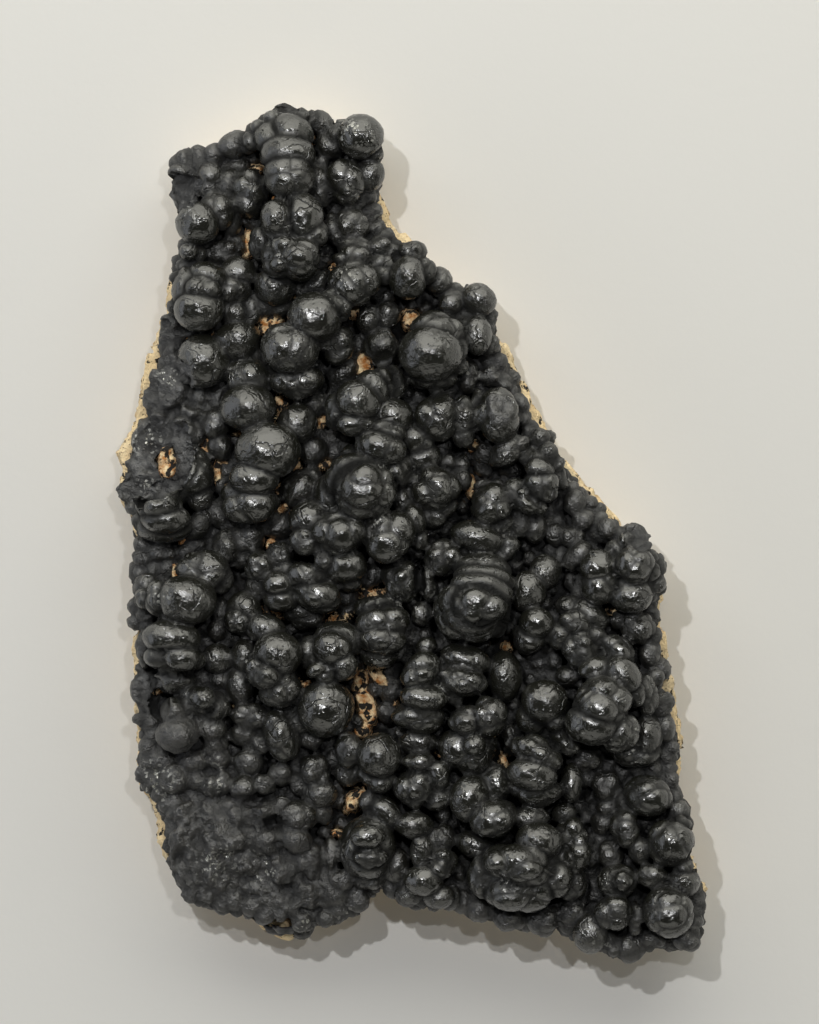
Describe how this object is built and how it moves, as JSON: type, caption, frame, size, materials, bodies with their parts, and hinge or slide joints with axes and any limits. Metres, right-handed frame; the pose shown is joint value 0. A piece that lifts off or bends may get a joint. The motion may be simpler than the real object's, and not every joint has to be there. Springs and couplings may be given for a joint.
{
  "type": "mineral specimen",
  "caption": "Cabinet specimen of black botryoidal manganese ore, fused domes on a slab of tan matrix rock.",
  "frame": {"origin": "on the resting plane of the matrix's back, below the middle of the specimen's outline", "axes": "+X across the specimen, +Y along its length towards the narrow end, +Z out of the crust, away from the surface it lies on"},
  "size_m": [0.1501, 0.2163, 0.049],
  "materials": {
    "matrix_rock": "rough broken rock, cream to ochre with brown specks",
    "manganite": "near-black submetallic satin domes, matte where broken"
  },
  "bodies": {
    "root": {"matrix": "matrix_rock", "manganite_crust": "manganite"}
  },
  "joints": []
}
